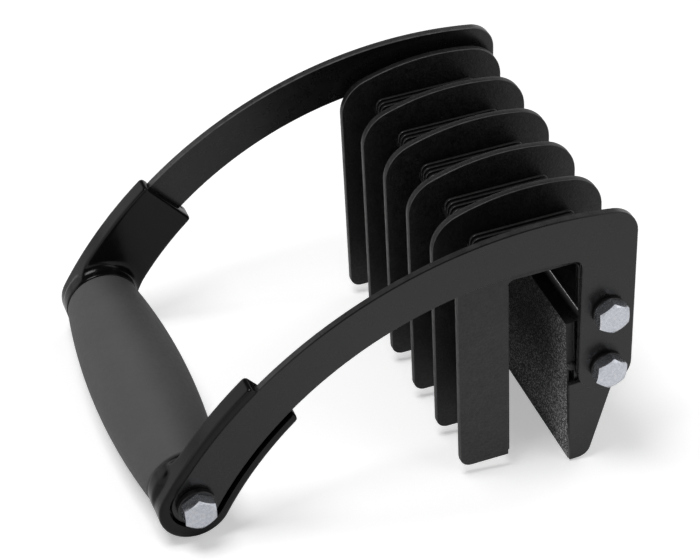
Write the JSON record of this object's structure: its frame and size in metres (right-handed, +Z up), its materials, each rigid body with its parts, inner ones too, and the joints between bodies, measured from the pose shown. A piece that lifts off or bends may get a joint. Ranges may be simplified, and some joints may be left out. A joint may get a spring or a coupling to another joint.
{
  "type": "one-handed panel carrier",
  "caption": "Black one-handed panel carrier: a grey cross grip on two curved arms levers a rubber-faced swinging jaw against a ribbed fixed jaw to clamp a sheet.",
  "frame": {"origin": "on the floor under the middle of the standing carrier's bounding box", "axes": "+X from the handle to the jaws, +Y across the carrier along the grip to the far arm, +Z up, with the carrier standing on its grip and on the toe of the swinging jaw"},
  "size_m": [0.2102, 0.1668, 0.1324],
  "materials": {
    "satin_coat": "satin",
    "textured_coat": "matte",
    "saddle_plastic": "satin",
    "cap_plastic": "satin",
    "grip_rubber": "matte",
    "pad_rubber": "rough",
    "black_washer": "satin",
    "zinc": "satin"
  },
  "bodies": {
    "rib_frame": {"rib_1": "textured_coat", "rib_2": "textured_coat", "rib_3": "textured_coat", "rib_4": "textured_coat", "rib_5": "textured_coat", "rib_6": "textured_coat", "saddle_1": "saddle_plastic", "saddle_2": "saddle_plastic", "saddle_3": "saddle_plastic", "saddle_4": "saddle_plastic", "saddle_5": "saddle_plastic", "rib_spacer_1": "textured_coat", "rib_spacer_2": "textured_coat", "rib_spacer_3": "textured_coat", "rib_spacer_4": "textured_coat", "rib_spacer_5": "textured_coat", "fixed_jaw_plate": "textured_coat", "fixed_jaw_pad": "pad_rubber"},
    "lever": {"near_arm": "satin_coat", "far_arm": "satin_coat", "near_end_cap": "cap_plastic", "far_end_cap": "cap_plastic", "handle_tube": "zinc", "hand_grip": "grip_rubber", "pivot_sleeve": "zinc", "thrust_washers": "black_washer", "lever_pivot_bolt": "zinc", "jaw_pivot_bolt": "zinc", "handle_bolt": "zinc", "pivot_washers": "black_washer", "handle_washers": "black_washer", "lock_nuts": "zinc"},
    "swing_jaw": {"swing_jaw_plate": "satin_coat", "swing_jaw_pad": "pad_rubber", "near_jaw_ear": "satin_coat", "far_jaw_ear": "satin_coat", "jaw_bumpers": "pad_rubber"}
  },
  "joints": [
    {"name": "lever_lift", "type": "hinge", "parent": "rib_frame", "child": "lever", "pos_m": [0.08991, 0, 0.08317], "axis": [0, 1, 0], "range_deg": [0, 32]},
    {"name": "jaw_swing", "type": "hinge", "parent": "lever", "child": "swing_jaw", "pos_m": [0.09295, 0, 0.05413], "axis": [0, 1, 0], "range_deg": [-32, 0]}
  ],
  "couplings": [
    {"joint": "jaw_swing", "follows": "lever_lift", "ratio": -1}
  ]
}
